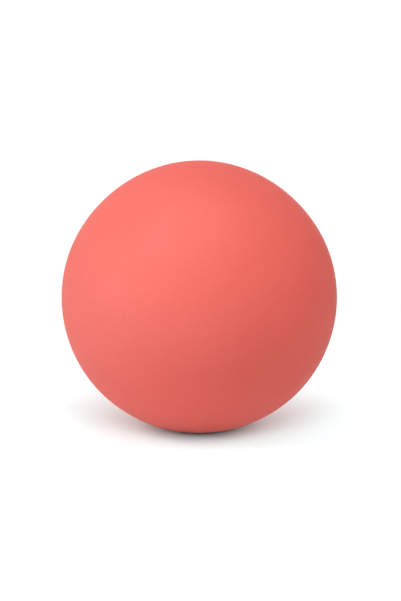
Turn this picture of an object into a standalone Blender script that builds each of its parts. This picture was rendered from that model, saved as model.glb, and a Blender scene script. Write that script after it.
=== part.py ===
"""Inflatable Pilates ball: a soft moulded skin, blown up, with a bonded valve bush and a push-in stopper.

Metres, +Z up. The origin is the middle of the flat patch that the floor presses into the skin.
The valve faces +Y, level with the widest part of the ball.
"""

import math

import bmesh
import bpy

# Blown-up skin, as it stands on a floor under its own weight.
WAIST_RADIUS = 0.115  # the widest part
TOP_HEIGHT = 0.1143  # from the widest level up to the top
BELLY_DEPTH = 0.1132  # from the widest level down to where the underside would end with no floor
FLOOR_FLAT = 0.0016  # height of the underside that the floor presses flat
SHOULDER_DRAW = 0.0007  # the upper half is this much leaner than an ellipse, half-way up
HAUNCH_SWELL = 0.00035  # the lower half is this much fuller than an ellipse, half-way down
SKIN_WALL = 0.0010
SKIN_COLOUR = (0.820, 0.145, 0.120)
SKIN_ROUGHNESS = 0.6

# Stopper: a flat head on a tapered, ribbed shank.
HEAD_RADIUS = 0.0056
HEAD_THICKNESS = 0.0017
HEAD_EDGE = 0.0004  # chamfer round the head
SHANK_TAPER = 0.0003  # the shank is this much thinner at its tip, on the radius
RIB_RISE = 0.0003
RIB_COUNT = 3
TIP_REACH = 0.0040  # the tip stands this far out of the bush, inside the ball
TIP_CHAMFER = 0.0009
PLUG_COLOUR = (0.800, 0.760, 0.720)
PLUG_ROUGHNESS = 0.4

# Valve bush: a grommet whose groove holds the edge of the skin, with a sleeve that reaches into the ball.
BORE_RADIUS = 0.0038
NAIL_GAP = 0.0006  # round the stopper's head, for a fingernail
NECK_WALL = 0.0016
FLANGE_LIP = 0.0032
FLANGE_THICKNESS = 0.0012
LOCK_LIP = 0.0022
LOCK_THICKNESS = 0.0009
LOCK_CONE = 0.0012  # slope from the locking rim to the sleeve
SLEEVE_WALL = 0.0016
SLEEVE_LENGTH = 0.0090
BUSH_COLOUR = (0.640, 0.105, 0.088)
BUSH_ROUGHNESS = 0.5

# Thick pad of the skin, moulded on the inside round the valve.
PAD_MARGIN = 0.0047
PAD_RISE = 0.0013

CLEARANCE = 0.0003  # between pieces that seat on or in each other

SKIN_SEGMENTS = 64
SKIN_RINGS = 32
AIR_SEGMENTS = 48
AIR_RINGS = 24
VALVE_SEGMENTS = 32
SMOOTH_BELOW = math.radians(30)
MERGE_DISTANCE = 1e-6

# Sizes that follow from the ones above.
WAIST_LEVEL = BELLY_DEPTH - FLOOR_FLAT
RECESS_RADIUS = HEAD_RADIUS + NAIL_GAP
RECESS_DEPTH = HEAD_THICKNESS + CLEARANCE
NECK_RADIUS = RECESS_RADIUS + NECK_WALL
FLANGE_RADIUS = NECK_RADIUS + FLANGE_LIP
HOLE_RADIUS = NECK_RADIUS + CLEARANCE
LOCK_RADIUS = HOLE_RADIUS + LOCK_LIP
SLEEVE_RADIUS = BORE_RADIUS + SLEEVE_WALL
COUNTERBORE_RADIUS = FLANGE_RADIUS + CLEARANCE
COUNTERBORE_DEPTH = FLANGE_THICKNESS + CLEARANCE
PAD_RADIUS = COUNTERBORE_RADIUS + PAD_MARGIN
RIB_RADIUS = BORE_RADIUS - CLEARANCE
SHANK_RADIUS = RIB_RADIUS - RIB_RISE

# Levels along the valve axis, from the outer face of the bush, which lies flush with the skin round it.
FACE_DISTANCE = math.sqrt(WAIST_RADIUS**2 - FLANGE_RADIUS**2)
SKIN_CREST = WAIST_RADIUS - FACE_DISTANCE  # where the uncut skin would cross the axis
PAD_LEVEL = math.sqrt((WAIST_RADIUS - SKIN_WALL) ** 2 - PAD_RADIUS**2) - PAD_RISE - FACE_DISTANCE
LOCK_LEVEL = PAD_LEVEL - CLEARANCE
SLEEVE_TOP = LOCK_LEVEL - LOCK_THICKNESS - LOCK_CONE
SLEEVE_END = SLEEVE_TOP - SLEEVE_LENGTH
TIP_LEVEL = SLEEVE_END - TIP_REACH


def clear_scene():
    for obj in list(bpy.data.objects):
        bpy.data.objects.remove(obj)


def finish_material(name, colour, roughness):
    material = bpy.data.materials.new(name)
    material.use_nodes = True
    shader = material.node_tree.nodes["Principled BSDF"]
    shader.inputs["Base Color"].default_value = (*colour, 1)
    shader.inputs["Roughness"].default_value = roughness
    shader.inputs["Metallic"].default_value = 0
    return material


def turned(profile, segments, ring=False):
    """A bmesh turned about Z from (radius, height) points. A ring's profile closes on itself."""
    shape = bmesh.new()
    points = [shape.verts.new((radius, 0, height)) for radius, height in profile]
    pairs = list(zip(points, points[1:]))
    if ring:
        pairs.append((points[-1], points[0]))
    edges = [shape.edges.new(pair) for pair in pairs]
    bmesh.ops.spin(
        shape,
        geom=points + edges,
        cent=(0, 0, 0),
        axis=(0, 0, 1),
        angle=math.tau,
        steps=segments,
        use_merge=True,
    )
    bmesh.ops.remove_doubles(shape, verts=shape.verts, dist=MERGE_DISTANCE)
    bmesh.ops.recalc_face_normals(shape, faces=shape.faces)
    return shape


def flatten_below(shape, level):
    """Cuts a closed bmesh flat at a height and closes it there with a fan of faces."""
    geometry = [*shape.verts, *shape.edges, *shape.faces]
    up = (0, 0, 1)
    bmesh.ops.bisect_plane(shape, geom=geometry, plane_co=(0, 0, level), plane_no=up, clear_inner=True)
    rim = [edge for edge in shape.edges if edge.is_boundary]
    patch = bmesh.ops.contextual_create(shape, geom=rim)["faces"]
    bmesh.ops.poke(shape, faces=patch)
    bmesh.ops.recalc_face_normals(shape, faces=shape.faces)


def new_object(name, shape, material=None, parent=None):
    mesh = bpy.data.meshes.new(name)
    shape.to_mesh(mesh)
    shape.free()
    mesh.shade_smooth()
    mesh.set_sharp_from_angle(angle=SMOOTH_BELOW)
    if material:
        mesh.materials.append(material)
    obj = bpy.data.objects.new(name, mesh)
    obj.parent = parent
    bpy.context.scene.collection.objects.link(obj)
    return obj


def make_helper(obj):
    obj.hide_render = True
    obj.display_type = "WIRE"
    return obj


def cut_away(obj, cutter):
    boolean = obj.modifiers.new(f"cut {cutter.name}", "BOOLEAN")
    boolean.operation = "DIFFERENCE"
    boolean.solver = "EXACT"
    boolean.object = cutter


def skin_distance(angle):
    """From the middle of the widest level to the outside of the skin, at an angle above that level."""
    half_height = TOP_HEIGHT if angle > 0 else BELLY_DEPTH
    swell = -SHOULDER_DRAW if angle > 0 else HAUNCH_SWELL
    ellipse = 1 / math.hypot(math.cos(angle) / WAIST_RADIUS, math.sin(angle) / half_height)
    return ellipse + swell * math.sin(2 * angle) ** 2


def ball_shape(inset, segments, rings):
    """The blown-up form, drawn in by inset all round and flat underneath."""
    profile = []
    for ring in range(rings + 1):
        angle = math.pi / 2 - math.pi * ring / rings
        distance = skin_distance(angle) - inset
        radius = distance * math.cos(angle) if 0 < ring < rings else 0
        profile.append((radius, WAIST_LEVEL + distance * math.sin(angle)))
    shape = turned(profile, segments)
    flatten_below(shape, inset)
    return shape


def cylinder_profile(radius, top, bottom):
    return [(0, top), (radius, top), (radius, bottom), (0, bottom)]


def make_valve_axis():
    """An empty on the valve axis, at the bush's outer face, whose own Z points out of the ball."""
    axis = bpy.data.objects.new("valve_axis", None)
    axis.location = (0, FACE_DISTANCE, WAIST_LEVEL)
    axis.rotation_euler = (-math.pi / 2, 0, 0)
    bpy.context.scene.collection.objects.link(axis)
    return axis


def make_skin(valve_axis):
    """One hollow moulding, with a thick pad inside round the hole that the bush is bonded into."""
    material = finish_material("skin_pvc", SKIN_COLOUR, SKIN_ROUGHNESS)
    skin = new_object("ball_skin", ball_shape(0, SKIN_SEGMENTS, SKIN_RINGS), material)

    pad = turned(cylinder_profile(PAD_RADIUS, SKIN_CREST, PAD_LEVEL), VALVE_SEGMENTS)
    pad_block = make_helper(new_object("pad_block", pad, parent=valve_axis))
    air = make_helper(new_object("air_space", ball_shape(SKIN_WALL, AIR_SEGMENTS, AIR_RINGS)))
    cut_away(air, pad_block)
    cut_away(skin, air)

    outside = SKIN_CREST + SKIN_WALL
    inside = PAD_LEVEL - SKIN_WALL
    hole = turned(
        [
            (0, outside),
            (COUNTERBORE_RADIUS, outside),
            (COUNTERBORE_RADIUS, -COUNTERBORE_DEPTH),
            (HOLE_RADIUS, -COUNTERBORE_DEPTH),
            (HOLE_RADIUS, inside),
            (0, inside),
        ],
        VALVE_SEGMENTS,
    )
    cut_away(skin, make_helper(new_object("valve_hole", hole, parent=valve_axis)))


def make_bush(valve_axis):
    """The outer flange lies in the skin's counterbore, and the locking rim lies behind the skin's pad."""
    profile = [
        (RECESS_RADIUS, 0),
        (FLANGE_RADIUS, 0),
        (FLANGE_RADIUS, -FLANGE_THICKNESS),
        (NECK_RADIUS, -FLANGE_THICKNESS),
        (NECK_RADIUS, LOCK_LEVEL),
        (LOCK_RADIUS, LOCK_LEVEL),
        (LOCK_RADIUS, LOCK_LEVEL - LOCK_THICKNESS),
        (SLEEVE_RADIUS, SLEEVE_TOP),
        (SLEEVE_RADIUS, SLEEVE_END),
        (BORE_RADIUS, SLEEVE_END),
        (BORE_RADIUS, -RECESS_DEPTH),
        (RECESS_RADIUS, -RECESS_DEPTH),
    ]
    material = finish_material("bush_pvc", BUSH_COLOUR, BUSH_ROUGHNESS)
    new_object("valve_bush", turned(profile, VALVE_SEGMENTS, ring=True), material, valve_axis)


def rib_profile(level):
    """One sealing rib of the stopper, a ridge with sloping sides, from its upper foot to its lower foot."""
    return [
        (SHANK_RADIUS, level + RIB_RISE),
        (RIB_RADIUS, level),
        (SHANK_RADIUS, level - RIB_RISE),
    ]


def make_plug(valve_axis):
    """The head lies in the bush's recess, flush with its face. The ribs are spread along its bore."""
    head_bottom = -HEAD_THICKNESS
    tip_radius = SHANK_RADIUS - SHANK_TAPER
    rib_step = (SLEEVE_END + RECESS_DEPTH) / (RIB_COUNT + 1)
    profile = [
        (0, 0),
        (HEAD_RADIUS - HEAD_EDGE, 0),
        (HEAD_RADIUS, -HEAD_EDGE),
        (HEAD_RADIUS, head_bottom),
        (SHANK_RADIUS, head_bottom),
    ]
    for rib in range(1, RIB_COUNT + 1):
        profile += rib_profile(-RECESS_DEPTH + rib * rib_step)
    profile += [
        (tip_radius, TIP_LEVEL + TIP_CHAMFER),
        (tip_radius - TIP_CHAMFER, TIP_LEVEL),
        (0, TIP_LEVEL),
    ]
    material = finish_material("plug_plastic", PLUG_COLOUR, PLUG_ROUGHNESS)
    new_object("valve_plug", turned(profile, VALVE_SEGMENTS), material, valve_axis)


def main():
    clear_scene()
    valve_axis = make_valve_axis()
    make_skin(valve_axis)
    make_bush(valve_axis)
    make_plug(valve_axis)


main()
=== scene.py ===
# Looks of a blown-up exercise ball: its coral skin, the valve bush in its back and the stopper in the bush.
import math

import bmesh
import bpy
from mathutils import Matrix, Vector


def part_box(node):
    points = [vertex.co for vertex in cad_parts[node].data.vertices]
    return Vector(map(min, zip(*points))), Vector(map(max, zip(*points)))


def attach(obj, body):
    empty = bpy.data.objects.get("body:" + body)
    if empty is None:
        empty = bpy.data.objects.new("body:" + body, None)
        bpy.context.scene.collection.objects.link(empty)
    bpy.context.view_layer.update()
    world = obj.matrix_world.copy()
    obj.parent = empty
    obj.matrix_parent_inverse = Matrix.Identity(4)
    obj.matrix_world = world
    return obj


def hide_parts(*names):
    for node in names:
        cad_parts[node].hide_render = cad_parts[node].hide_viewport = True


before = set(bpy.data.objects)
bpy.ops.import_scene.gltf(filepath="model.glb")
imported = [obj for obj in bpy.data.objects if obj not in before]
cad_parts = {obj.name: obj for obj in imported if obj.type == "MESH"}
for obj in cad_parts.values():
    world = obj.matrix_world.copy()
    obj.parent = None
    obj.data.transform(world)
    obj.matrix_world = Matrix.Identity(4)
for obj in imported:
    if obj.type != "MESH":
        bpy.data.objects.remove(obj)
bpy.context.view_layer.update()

# Ball skin: one hollow moulding of soft coral PVC, a millimetre thick, with a pad inside round its valve. Two
# half moulds leave a fine parting line round it, square to the valve, and a faint ring where the valve's
# insert sat. Air holds it round; on the floor it sags a little, and the floor presses its underside flat.
skin_low, skin_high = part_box("ball_skin")
bush_low, bush_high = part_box("valve_bush")
waist_radius = skin_high.x
waist_level = (bush_low.z + bush_high.z) / 2  # the valve is level with the widest part
top_height = skin_high.z - waist_level
floor_level = skin_low.z
floor_flat = 0.0016  # height of the underside that the floor presses flat
belly_depth = waist_level - floor_level + floor_flat
shoulder_draw = 0.0007  # the upper half is this much leaner than an ellipse, half-way up
haunch_swell = 0.00035  # the lower half is this much fuller than an ellipse, half-way down
waist_blend = math.radians(20)  # the two halves run into each other over this rise
floor_ease = 0.0008  # the skin leaves the floor in a soft curve this high
skin_wall = 0.0010

flange_radius = bush_high.x
face_distance = bush_high.y  # from the middle of the ball to the outer face of the bush
seat_gap = 0.0003
flange_thickness = 0.0012
neck_radius = 0.0078
counterbore_radius = flange_radius + seat_gap
counterbore_floor = face_distance - flange_thickness - seat_gap
hole_radius = neck_radius + seat_gap
pad_margin = 0.0047  # the pad reaches this far past the counterbore
pad_radius = counterbore_radius + pad_margin
pad_rise = 0.0013

parting_rise = 0.0002
parting_half_width = 0.0006
insert_ring_radius = 0.0175
insert_ring_rise = 0.00014
insert_ring_half_width = 0.00035

rim_rounding = 0.00035
hole_rounding = 0.00015
pad_rounding = 0.0005
rounding_segments = 4
skin_rings = 128
rim_rings = 4
air_side_rings = 64
skin_segments = 256
merge_distance = 1e-6

skin_colour = (0.757, 0.115, 0.089)
skin_bloom_colour = (0.772, 0.121, 0.094)
skin_fleck_colour = (0.744, 0.111, 0.085)
skin_roughness = (0.66, 0.72)
soft_pvc_ior = 1.45
bloom_size = 0.055
bloom_band = (0.35, 0.65)  # the stretch of the noise over which the change takes place
fleck_size = 0.0016
fleck_band = (0.45, 0.75)
sheen_size = 0.020
sheen_band = (0.3, 0.7)
peel_size = 0.0024
peel_depth = 0.00004
pore_size = 0.0006
pore_depth = 0.00001


def start_wire(shape, radius, height):
    """The first vertex of a profile, which lies in the half-plane beside the valve axis."""
    return shape.verts.new((radius, 0, height))


def carry_to(shape, end, radius, height):
    """Lengthens a profile in a straight line and returns its new end."""
    corner = shape.verts.new((radius, 0, height))
    shape.edges.new((end, corner))
    return corner


def carry_round(shape, end, angle, steps):
    """Lengthens a profile along an arc about the middle of the ball and returns its new end."""
    arc = bmesh.ops.spin(shape, geom=[end], cent=(0, 0, 0), axis=(0, -1, 0), angle=angle, steps=steps)
    return arc["geom_last"][0]


def round_off(shape, corners, radius):
    """Rounds the corners of a profile."""
    bmesh.ops.bevel(
        shape,
        geom=corners,
        offset=radius,
        offset_type="OFFSET",
        affect="VERTICES",
        segments=rounding_segments,
        profile=0.5,
        material=-1,
    )


def turn_about_valve(shape, segments):
    """Turns a profile about the valve axis, which then swings from upright to +Y about the ball's middle."""
    bmesh.ops.spin(
        shape,
        geom=[*shape.verts, *shape.edges],
        cent=(0, 0, 0),
        axis=(0, 0, 1),
        angle=math.tau,
        steps=segments,
        use_merge=True,
    )
    bmesh.ops.remove_doubles(shape, verts=shape.verts, dist=merge_distance)
    bmesh.ops.recalc_face_normals(shape, faces=shape.faces)
    swing = Matrix.Rotation(-math.pi / 2, 3, "X")
    bmesh.ops.rotate(shape, verts=shape.verts, cent=(0, 0, 0), matrix=swing)


def finish_piece(name, shape, finish):
    """Makes a piece of a bmesh whose place is already in its vertices."""
    mesh = bpy.data.meshes.new(name)
    shape.to_mesh(mesh)
    shape.free()
    mesh.shade_smooth()
    mesh.materials.append(finish)
    piece = bpy.data.objects.new(name, mesh)
    bpy.context.scene.collection.objects.link(piece)
    piece.modifiers.new("even_shading", "WEIGHTED_NORMAL")
    return piece


def moulded_ridge(shape, end, angle, rise, half_width):
    """Carries a profile over a fine ridge on the outside of the ball, at an angle from the front."""
    foot = half_width / waist_radius
    peak = waist_radius + rise
    crest = carry_to(shape, end, peak * math.sin(angle), -peak * math.cos(angle))
    far = angle + foot
    foot_end = carry_to(shape, crest, waist_radius * math.sin(far), -waist_radius * math.cos(far))
    round_off(shape, [crest], half_width / 2)
    return foot_end


def skin_distance(rise):
    """From the middle of the widest level to the outside of the skin, at an angle above that level."""
    upper = 0.5 + 0.5 * math.tanh(rise / waist_blend)
    half_height = belly_depth + upper * (top_height - belly_depth)
    swell = haunch_swell - upper * (haunch_swell + shoulder_draw)
    ellipse = 1 / math.hypot(math.cos(rise) / waist_radius, math.sin(rise) / half_height)
    return ellipse + swell * math.sin(2 * rise) ** 2


def rest_on(level, height):
    """The height of a point of the skin that a level presses up, with a soft curve where they meet."""
    nearness = max(floor_ease - abs(height - level), 0) / floor_ease
    return max(height, level) + nearness**2 * floor_ease / 4


shape = bmesh.new()
parting_angle = math.pi / 2
insert_ring_angle = math.pi - math.asin(insert_ring_radius / waist_radius)
rim_angle = math.pi - math.asin(counterbore_radius / waist_radius)
parting_foot = parting_half_width / waist_radius
insert_ring_foot = insert_ring_half_width / waist_radius
half_rings = skin_rings // 2

front_pole = start_wire(shape, 0, -waist_radius)
end = carry_round(shape, front_pole, parting_angle - parting_foot, half_rings)
end = moulded_ridge(shape, end, parting_angle, parting_rise, parting_half_width)
back_sweep = insert_ring_angle - insert_ring_foot - parting_angle - parting_foot
end = carry_round(shape, end, back_sweep, half_rings)
end = moulded_ridge(shape, end, insert_ring_angle, insert_ring_rise, insert_ring_half_width)
rim = carry_round(shape, end, rim_angle - insert_ring_angle - insert_ring_foot, rim_rings)

air_radius = waist_radius - skin_wall
pad_edge = math.sqrt(air_radius**2 - pad_radius**2)
pad_face = pad_edge - pad_rise
seat_corner = carry_to(shape, rim, counterbore_radius, counterbore_floor)
hole_edge = carry_to(shape, seat_corner, hole_radius, counterbore_floor)
hole_inner_edge = carry_to(shape, hole_edge, hole_radius, pad_face)
pad_rim = carry_to(shape, hole_inner_edge, pad_radius, pad_face)
pad_root = carry_to(shape, pad_rim, pad_radius, pad_edge)
air_angle = math.asin(pad_radius / air_radius)
carry_round(shape, pad_root, air_angle - math.pi, air_side_rings)
round_off(shape, [rim], rim_rounding)
round_off(shape, [seat_corner, hole_edge, hole_inner_edge], hole_rounding)
round_off(shape, [pad_rim, pad_root], pad_rounding)
turn_about_valve(shape, skin_segments)

for point in shape.verts:
    is_outside = point.co.length > waist_radius - skin_wall / 2
    rest_level = floor_level if is_outside else floor_level + skin_wall
    rise = math.atan2(point.co.z, math.hypot(point.co.x, point.co.y))
    point.co *= skin_distance(rise) / waist_radius
    point.co.z = rest_on(rest_level, point.co.z + waist_level)


def new_finish(name):
    """A material and its shader."""
    finish = bpy.data.materials.new(name)
    finish.use_nodes = True
    return finish, finish.node_tree.nodes["Principled BSDF"]


def add_node(owner, kind, sockets):
    """Adds a node to a material or a world. A socket takes a plain value or another node's output."""
    node = owner.node_tree.nodes.new(kind)
    for name, value in sockets.items():
        if isinstance(value, bpy.types.NodeSocket):
            owner.node_tree.links.new(value, node.inputs[name])
        else:
            node.inputs[name].default_value = value
    return node


def grain(finish, size, detail):
    """Even noise whose lumps are about this many metres across, fixed to the piece."""
    place = add_node(finish, "ShaderNodeTexCoord", {}).outputs["Object"]
    sockets = {"Vector": place, "Scale": 1 / size, "Detail": detail}
    return add_node(finish, "ShaderNodeTexNoise", sockets).outputs["Fac"]


def spread(owner, value, low, high, to_low=0.0, to_high=1.0):
    """Stretches the part of a value between two limits over a range."""
    sockets = {"Value": value, "From Min": low, "From Max": high, "To Min": to_low, "To Max": to_high}
    return add_node(owner, "ShaderNodeMapRange", sockets).outputs["Result"]


def blend_colours(finish, share, base, other):
    """Goes from one colour to another by a share. Each colour is plain or another node's output."""
    node = finish.node_tree.nodes.new("ShaderNodeMix")
    node.data_type = "RGBA"
    finish.node_tree.links.new(share, node.inputs["Factor"])
    for name, colour in (("A", base), ("B", other)):
        socket = next(entry for entry in node.inputs if entry.name == name and entry.type == "RGBA")
        if isinstance(colour, bpy.types.NodeSocket):
            finish.node_tree.links.new(colour, socket)
        else:
            socket.default_value = (*colour, 1)
    return next(entry for entry in node.outputs if entry.type == "RGBA")


def dimple(finish, height, depth, below=None):
    """Presses a noise into the surface, to a depth in metres, over the relief below it."""
    sockets = {"Height": height, "Distance": depth, "Strength": 1.0}
    if below:
        sockets["Normal"] = below
    return add_node(finish, "ShaderNodeBump", sockets).outputs["Normal"]


def set_surface(finish, shader, colour, roughness, relief, ior):
    """Joins a colour, a roughness and a relief to a shader."""
    finish.node_tree.links.new(colour, shader.inputs["Base Color"])
    finish.node_tree.links.new(roughness, shader.inputs["Roughness"])
    finish.node_tree.links.new(relief, shader.inputs["Normal"])
    shader.inputs["IOR"].default_value = ior


finish, shader = new_finish("coral_skin")
bloom = spread(finish, grain(finish, bloom_size, detail=3), *bloom_band)
fleck = spread(finish, grain(finish, fleck_size, detail=2), *fleck_band)
clouded = blend_colours(finish, bloom, skin_colour, skin_bloom_colour)
flecked = blend_colours(finish, fleck, clouded, skin_fleck_colour)
sheen = spread(finish, grain(finish, sheen_size, detail=4), *sheen_band, *skin_roughness)
peel = dimple(finish, grain(finish, peel_size, detail=1), peel_depth)
pores = dimple(finish, grain(finish, pore_size, detail=2), pore_depth, below=peel)
set_surface(finish, shader, flecked, sheen, pores, soft_pvc_ior)

skin = finish_piece("skin", shape, finish)
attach(skin, "ball")
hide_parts("ball_skin")

# Valve bush: a soft PVC grommet, a shade deeper than the skin, moulded in one piece and bonded into the hole.
# Its flange lies flush in the skin's counterbore, its groove holds the pad, and its sleeve reaches inwards.
recess_radius = 0.0062
recess_depth = 0.0020
bore_radius = 0.0038
sleeve_wall = 0.0016
sleeve_radius = bore_radius + sleeve_wall
sleeve_end = bush_low.y
lock_reach = 0.0022  # the locking rim reaches this far past the hole
lock_radius = hole_radius + lock_reach
lock_level = pad_face - seat_gap
lock_thickness = 0.0009
lock_cone = 0.0012
flange_groove_radius = 0.0090
flange_groove_half_width = 0.00035
flange_groove_depth = 0.00025
face_rounding = 0.0004
groove_rounding = 0.00012
inner_rounding = 0.00018
lock_rounding = 0.0003
sleeve_rounding = 0.0006
valve_segments = 96

bush_colour = (0.640, 0.105, 0.088)
bush_worn_colour = (0.690, 0.128, 0.106)
bush_roughness = (0.42, 0.56)
wear_size = 0.006
wear_band = (0.4, 0.7)
bush_sheen_size = 0.004
bush_grain_size = 0.0006
bush_grain_depth = 0.00003

shape = bmesh.new()
recess_rim = start_wire(shape, recess_radius, face_distance)
groove_near = carry_to(shape, recess_rim, flange_groove_radius - flange_groove_half_width, face_distance)
groove_bed = carry_to(shape, groove_near, flange_groove_radius, face_distance - flange_groove_depth)
groove_far = carry_to(shape, groove_bed, flange_groove_radius + flange_groove_half_width, face_distance)
flange_rim = carry_to(shape, groove_far, flange_radius, face_distance)
flange_under = carry_to(shape, flange_rim, flange_radius, face_distance - flange_thickness)
neck_top = carry_to(shape, flange_under, neck_radius, face_distance - flange_thickness)
neck_root = carry_to(shape, neck_top, neck_radius, lock_level)
lock_top = carry_to(shape, neck_root, lock_radius, lock_level)
lock_bottom = carry_to(shape, lock_top, lock_radius, lock_level - lock_thickness)
sleeve_top = carry_to(shape, lock_bottom, sleeve_radius, lock_level - lock_thickness - lock_cone)
sleeve_foot = carry_to(shape, sleeve_top, sleeve_radius, sleeve_end)
bore_foot = carry_to(shape, sleeve_foot, bore_radius, sleeve_end)
bore_top = carry_to(shape, bore_foot, bore_radius, face_distance - recess_depth)
recess_floor = carry_to(shape, bore_top, recess_radius, face_distance - recess_depth)
shape.edges.new((recess_floor, recess_rim))
round_off(shape, [recess_rim, flange_rim], face_rounding)
round_off(shape, [groove_near, groove_bed, groove_far], groove_rounding)
round_off(shape, [flange_under, neck_top, neck_root, recess_floor, bore_top], inner_rounding)
round_off(shape, [lock_top, lock_bottom, sleeve_foot, bore_foot], lock_rounding)
round_off(shape, [sleeve_top], sleeve_rounding)
turn_about_valve(shape, valve_segments)
bmesh.ops.translate(shape, verts=shape.verts, vec=(0, 0, waist_level))

finish, shader = new_finish("bush_pvc")
wear = spread(finish, grain(finish, wear_size, detail=4), *wear_band)
worn = blend_colours(finish, wear, bush_colour, bush_worn_colour)
sheen = spread(finish, grain(finish, bush_sheen_size, detail=3), *sheen_band, *bush_roughness)
pores = dimple(finish, grain(finish, bush_grain_size, detail=3), bush_grain_depth)
set_surface(finish, shader, worn, sheen, pores, soft_pvc_ior)

bush = finish_piece("bush", shape, finish)
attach(bush, "ball")
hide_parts("valve_bush")

# Stopper: a push-in plug of ivory polyethylene, moulded in one shot through the middle of its head. Three
# ribs on its shank seal it in the bush's bore, and its tip tapers to find the way in. The head lies in the
# recess of the bush, and is dished to a rim that a fingernail can lift.
plug_low, plug_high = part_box("valve_plug")
head_radius = plug_high.x
head_thickness = 0.0017
head_lip = 0.0009  # flat rim round the dish
dish_depth = 0.00035
gate_radius = 0.0007
gate_depth = 0.0002
rib_radius = bore_radius - seat_gap
rib_rise = 0.0003
rib_count = 3
shank_radius = rib_radius - rib_rise
tip_taper = 0.0003
tip_radius = shank_radius - tip_taper
tip_chamfer = 0.0009
tip_end = plug_low.y
gate_rounding = 0.00008
dish_rounding = 0.0002
head_rounding = 0.0004
shank_rounding = 0.0002
rib_foot_rounding = 0.0001
rib_crest_rounding = 0.00015
tip_rounding = 0.0003

plug_colour = (0.800, 0.760, 0.720)
plug_aged_colour = (0.760, 0.700, 0.630)
plug_roughness = (0.32, 0.46)
polyethylene_ior = 1.5
age_size = 0.004
age_band = (0.4, 0.75)
plug_sheen_size = 0.002
plug_grain_size = 0.0009
plug_grain_depth = 0.00002

shape = bmesh.new()
dish_level = face_distance - dish_depth
gate = start_wire(shape, 0, dish_level - gate_depth)
gate_edge = carry_to(shape, gate, gate_radius, dish_level - gate_depth)
gate_rim = carry_to(shape, gate_edge, gate_radius, dish_level)
dish_edge = carry_to(shape, gate_rim, head_radius - head_lip - dish_depth, dish_level)
lip_inner = carry_to(shape, dish_edge, head_radius - head_lip, face_distance)
lip_outer = carry_to(shape, lip_inner, head_radius, face_distance)
head_under = carry_to(shape, lip_outer, head_radius, face_distance - head_thickness)
shank_root = carry_to(shape, head_under, shank_radius, face_distance - head_thickness)
end = shank_root
rib_feet = []
rib_crests = []
rib_step = (face_distance - recess_depth - sleeve_end) / (rib_count + 1)
for rib in range(1, rib_count + 1):
    rib_level = face_distance - recess_depth - rib * rib_step
    upper_foot = carry_to(shape, end, shank_radius, rib_level + rib_rise)
    crest = carry_to(shape, upper_foot, rib_radius, rib_level)
    end = carry_to(shape, crest, shank_radius, rib_level - rib_rise)
    rib_feet += [upper_foot, end]
    rib_crests.append(crest)
tip_shoulder = carry_to(shape, end, tip_radius, tip_end + tip_chamfer)
tip_edge = carry_to(shape, tip_shoulder, tip_radius - tip_chamfer, tip_end)
carry_to(shape, tip_edge, 0, tip_end)
round_off(shape, [gate_edge, gate_rim], gate_rounding)
round_off(shape, [dish_edge, lip_inner], dish_rounding)
round_off(shape, [lip_outer], head_rounding)
round_off(shape, [head_under, shank_root], shank_rounding)
round_off(shape, rib_feet, rib_foot_rounding)
round_off(shape, rib_crests, rib_crest_rounding)
round_off(shape, [tip_shoulder, tip_edge], tip_rounding)
turn_about_valve(shape, valve_segments)
bmesh.ops.translate(shape, verts=shape.verts, vec=(0, 0, waist_level))

finish, shader = new_finish("plug_plastic")
age = spread(finish, grain(finish, age_size, detail=4), *age_band)
aged = blend_colours(finish, age, plug_colour, plug_aged_colour)
sheen = spread(finish, grain(finish, plug_sheen_size, detail=3), *sheen_band, *plug_roughness)
pores = dimple(finish, grain(finish, plug_grain_size, detail=2), plug_grain_depth)
set_surface(finish, shader, aged, sheen, pores, polyethylene_ior)

plug = finish_piece("plug", shape, finish)
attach(plug, "plug")
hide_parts("valve_plug")

# Studio floor: a plain pale sheet under the ball. Lamps of its own light it, as photographers light a ground
# apart from the goods, and it keeps the ball's shadow. Away from the ball it fades to plain white for the
# camera and for reflections, which leaves no horizon.
floor_half_side = 4.0
floor_near_colour = (0.470, 0.392, 0.390)  # of the light that it throws back on the ball from close by
floor_far_colour = (0.71, 0.60, 0.60)  # and from further out
near_reach = 0.2
far_reach = 0.9
shown_colour = (0.60, 0.60, 0.60)  # as the camera sees it
fade_start = 0.18  # from here it fades, as the camera sees it, to plain white
fade_end = 0.55
white_strength = 1.0  # shows as plain white

shape = bmesh.new()
bmesh.ops.create_grid(shape, x_segments=1, y_segments=1, size=floor_half_side)
finish = bpy.data.materials.new("white_ground")
finish.use_nodes = True
finish.node_tree.nodes.clear()


def seen_straight(owner):
    """1 on rays that show a surface, straight or in a reflection, and 0 on those that light others."""
    ray = add_node(owner, "ShaderNodeLightPath", {})
    total = ray.outputs["Is Camera Ray"]
    for other in ("Is Glossy Ray", "Is Transmission Ray"):
        join = add_node(owner, "ShaderNodeMath", {0: total, 1: ray.outputs[other]})
        join.operation = "MAXIMUM"
        total = join.outputs["Value"]
    return total


place = add_node(finish, "ShaderNodeTexCoord", {}).outputs["Object"]
way_out = add_node(finish, "ShaderNodeVectorMath", {"Vector": place})
way_out.operation = "LENGTH"
remoteness = spread(finish, way_out.outputs["Value"], near_reach, far_reach)
paleness = spread(finish, way_out.outputs["Value"], fade_start, fade_end)
seen = seen_straight(finish)
lit_colour = blend_colours(finish, remoteness, floor_near_colour, floor_far_colour)
sheet_colour = blend_colours(finish, seen, lit_colour, shown_colour)
sheet = add_node(finish, "ShaderNodeBsdfDiffuse", {"Color": sheet_colour})
white = add_node(finish, "ShaderNodeEmission", {"Strength": white_strength})
fade = add_node(finish, "ShaderNodeMath", {0: paleness, 1: seen})
fade.operation = "MULTIPLY"
faded = {0: fade.outputs["Value"], 1: sheet.outputs["BSDF"], 2: white.outputs["Emission"]}
ground_shader = add_node(finish, "ShaderNodeMixShader", faded)
add_node(finish, "ShaderNodeOutputMaterial", {"Surface": ground_shader.outputs["Shader"]})
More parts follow.
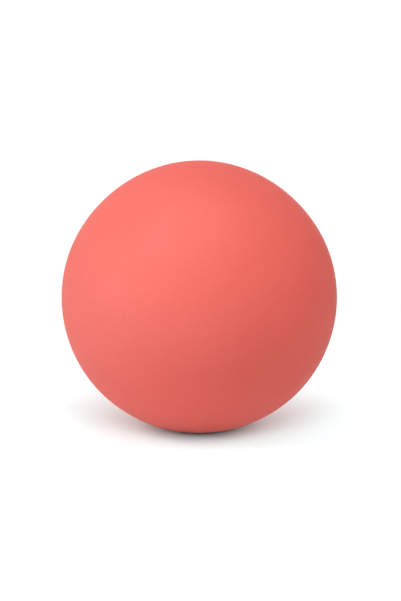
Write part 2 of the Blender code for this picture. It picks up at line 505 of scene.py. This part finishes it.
mesh = bpy.data.meshes.new("studio_floor")
shape.to_mesh(mesh)
shape.free()
mesh.materials.append(finish)
floor = bpy.data.objects.new("studio_floor", mesh)
bpy.context.scene.collection.objects.link(floor)

# Studio light: a cool key lamp above on the left, a warm one above on the right, a cool panel low on the left
# and a low panel behind light the ball alone. A wide ceiling and three low washes light the floor alone. A
# weak even fill lights both, and shows as plain white where the camera or a reflection looks past the floor.
ball_middle = Vector((0, 0, waist_level))
lamp_distance = 1.8
ceiling_height = 1.2
ceiling_width = 12.0
ceiling_power = 340
wash_width = 1.4
wash_rise = 25
plain_white = (1, 1, 1)
warm_white = (1, 0.855, 0.80)
cool_white = (0.79, 0.95, 1)
sky_white = (0.62, 0.935, 1)
wash_white = (0.66, 1, 1)  # against the ball's own glow on the floor before it
fill_level = 0.10


def lit_by_lamps(name, pieces):
    """Names the pieces that a lamp lights. It passes all others by."""
    group = bpy.data.collections.new(name)
    for piece in pieces:
        group.objects.link(piece)
    return group


def soft_lamp(name, lit, tint, width, height, power):
    """A soft lamp, still in the middle of the ball and facing down, that the camera does not see."""
    lamp = bpy.data.lights.new(name, "AREA")
    lamp.shape = "ELLIPSE"
    lamp.size = width
    lamp.size_y = height
    lamp.energy = power
    lamp.color = tint
    holder = bpy.data.objects.new(name, lamp)
    holder.location = ball_middle
    holder.light_linking.receiver_collection = lit
    holder.visible_camera = False
    bpy.context.scene.collection.objects.link(holder)
    return holder


def face_ball(holder, turn, rise):
    """Stands a lamp off from the ball, turned from the front to the right and raised by angles in degrees."""
    level_turn = Vector((math.sin(math.radians(turn)), -math.cos(math.radians(turn)), 0))
    direction = level_turn * math.cos(math.radians(rise)) + Vector((0, 0, math.sin(math.radians(rise))))
    holder.location = ball_middle + direction * lamp_distance
    holder.rotation_euler = direction.to_track_quat("Z", "Y").to_euler()


goods = lit_by_lamps("goods", [skin, bush, plug])
key_lamp = soft_lamp("key_lamp", goods, cool_white, width=0.7, height=0.7, power=21.6)
face_ball(key_lamp, turn=-39, rise=57)
right_lamp = soft_lamp("right_lamp", goods, warm_white, width=0.7, height=0.7, power=13.2)
face_ball(right_lamp, turn=40, rise=62)
left_panel = soft_lamp("left_panel", goods, sky_white, width=0.8, height=0.6, power=13.2)
face_ball(left_panel, turn=-68, rise=6)
back_panel = soft_lamp("back_panel", goods, plain_white, width=1.0, height=0.16, power=8)
face_ball(back_panel, turn=180, rise=2)

ground = lit_by_lamps("ground", [floor])
ceiling = soft_lamp("ceiling", ground, plain_white, ceiling_width, ceiling_width, ceiling_power)
ceiling.location.z = ceiling_height
for name, turn, power, tint in (
    ("front_wash", 0, 56, wash_white),
    ("left_wash", -90, 29.7, plain_white),
    ("right_wash", 90, 23.5, plain_white),
):
    wash = soft_lamp(name, ground, tint, wash_width, wash_width, power)
    face_ball(wash, turn, wash_rise)

world = bpy.data.worlds.new("studio_air")
world.use_nodes = True
bpy.context.scene.world = world
air = world.node_tree.nodes["Background"]
air.inputs["Color"].default_value = (*plain_white, 1)
air_strength = spread(world, seen_straight(world), 0, 1, fill_level, white_strength)
world.node_tree.links.new(air_strength, air.inputs["Strength"])
bpy.context.scene.view_settings.view_transform = "Standard"

# Camera: straight in front of the ball, looking down on it a little. The ball stands a touch above and to the
# left of the picture's middle.
camera_rise = math.radians(10)
camera_distance = 1.5
camera_lens = 107.3
aim_right = 0.00103
aim_drop = 0.0027

lens = bpy.data.cameras.new("camera")
lens.lens = camera_lens
camera = bpy.data.objects.new("camera", lens)
back = Vector((0, -math.cos(camera_rise), math.sin(camera_rise)))
camera_up = Vector((0, math.sin(camera_rise), math.cos(camera_rise)))
aim = ball_middle + Vector((aim_right, 0, 0)) - camera_up * aim_drop
camera.location = aim + back * camera_distance
camera.rotation_euler = back.to_track_quat("Z", "Y").to_euler()
bpy.context.scene.collection.objects.link(camera)
bpy.context.scene.camera = camera
